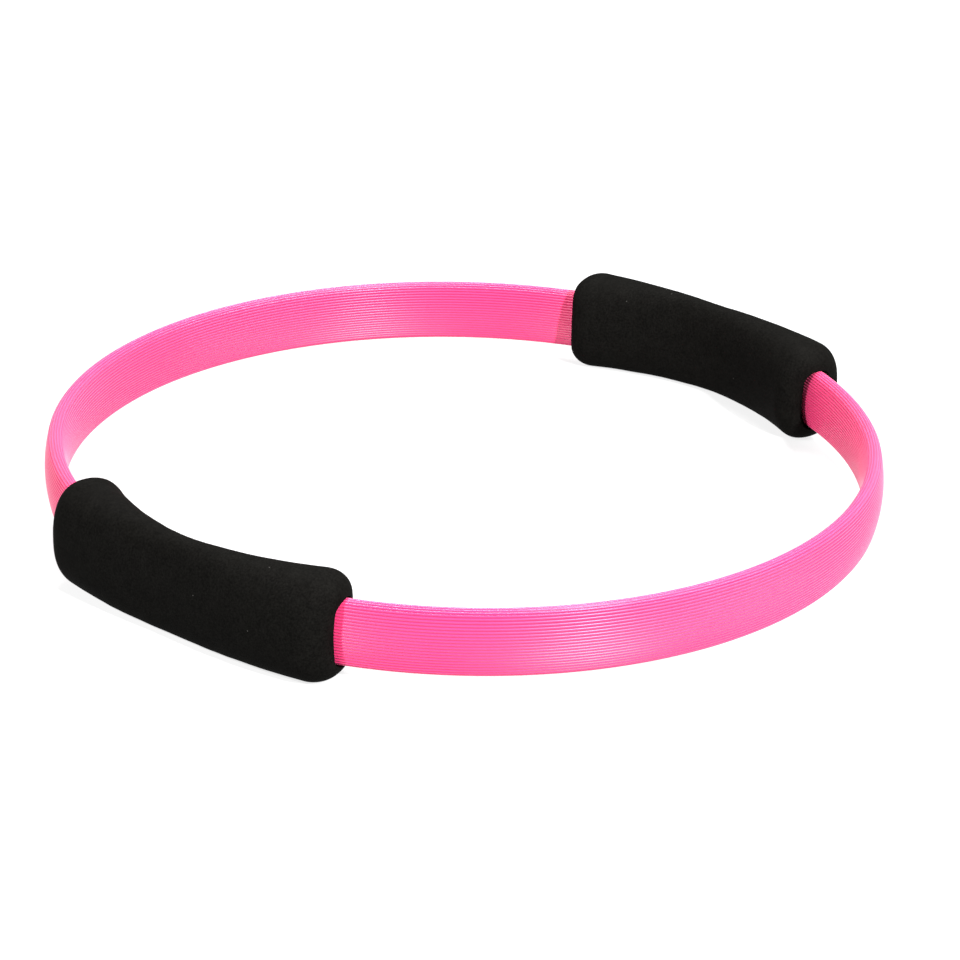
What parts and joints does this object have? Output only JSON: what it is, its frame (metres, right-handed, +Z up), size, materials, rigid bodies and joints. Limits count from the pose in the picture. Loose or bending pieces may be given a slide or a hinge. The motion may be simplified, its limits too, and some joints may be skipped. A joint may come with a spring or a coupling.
{
  "type": "pilates ring",
  "caption": "Round flexible resistance ring with a ribbed pink rubber band and foam grips on opposite sides; it springs back when the grips are squeezed together.",
  "frame": {"origin": "on the floor below the centre of the ring, the ring lying flat on its grips", "axes": "+Z up along the ring's axis, +X through the middle of the right grip, +Y to the rear bow"},
  "size_m": [0.3912, 0.38, 0.0476],
  "materials": {
    "pink_rubber": "satin, moulded fine ribs",
    "fibreglass": "smooth pultruded",
    "ferrule_steel": "zinc plated",
    "rivet_steel": "plain",
    "black_nylon": "moulded satin",
    "screw_steel": "zinc plated",
    "nut_steel": "zinc plated",
    "white_tape": "adhesive tape",
    "black_foam": "matte closed-cell foam"
  },
  "bodies": {
    "left_grip": {"left_foam_grip": "black_foam", "left_grip_tape": "white_tape", "left_splice_outer": "black_nylon", "left_splice_inner": "black_nylon", "left_splice_screws": "screw_steel", "left_splice_nuts": "nut_steel", "front_left_ferrule": "ferrule_steel", "front_left_rivets": "rivet_steel", "rear_left_ferrule": "ferrule_steel", "rear_left_rivets": "rivet_steel"},
    "right_grip": {"right_foam_grip": "black_foam", "right_grip_tape": "white_tape", "right_splice_outer": "black_nylon", "right_splice_inner": "black_nylon", "right_splice_screws": "screw_steel", "right_splice_nuts": "nut_steel"},
    "front_bow": {"front_sleeve": "pink_rubber", "front_outer_leaf": "fibreglass", "front_inner_leaf": "fibreglass"},
    "rear_bow": {"rear_sleeve": "pink_rubber", "rear_outer_leaf": "fibreglass", "rear_inner_leaf": "fibreglass"},
    "front_tail": {"front_right_ferrule": "ferrule_steel", "front_right_rivets": "rivet_steel"},
    "rear_tail": {"rear_right_ferrule": "ferrule_steel", "rear_right_rivets": "rivet_steel"}
  },
  "joints": [
    {"name": "squeeze", "type": "slide", "parent": "left_grip", "child": "right_grip", "axis": [-1, 0, 0], "range_m": [0, 0.07], "stiffness_N_per_m": 1200, "deforming": ["front_sleeve", "rear_sleeve", "front_outer_leaf", "front_inner_leaf", "rear_outer_leaf", "rear_inner_leaf"]},
    {"name": "front_bow_out", "type": "slide", "parent": "left_grip", "child": "front_bow", "axis": [-0.6727, -0.7399, 0], "range_m": [0, 0.05213]},
    {"name": "rear_bow_out", "type": "slide", "parent": "left_grip", "child": "rear_bow", "axis": [-0.6727, 0.7399, 0], "range_m": [0, 0.05213]},
    {"name": "front_tail_in", "type": "slide", "parent": "front_bow", "child": "front_tail", "axis": [-0.6727, 0.7399, 0], "range_m": [0, 0.05213]},
    {"name": "rear_tail_in", "type": "slide", "parent": "rear_bow", "child": "rear_tail", "axis": [-0.6727, -0.7399, 0], "range_m": [0, 0.05213]}
  ],
  "couplings": [
    {"joint": "front_bow_out", "follows": "squeeze", "ratio": 0.7433},
    {"joint": "rear_bow_out", "follows": "squeeze", "ratio": 0.7433},
    {"joint": "front_tail_in", "follows": "squeeze", "ratio": 0.7433},
    {"joint": "rear_tail_in", "follows": "squeeze", "ratio": 0.7433}
  ]
}
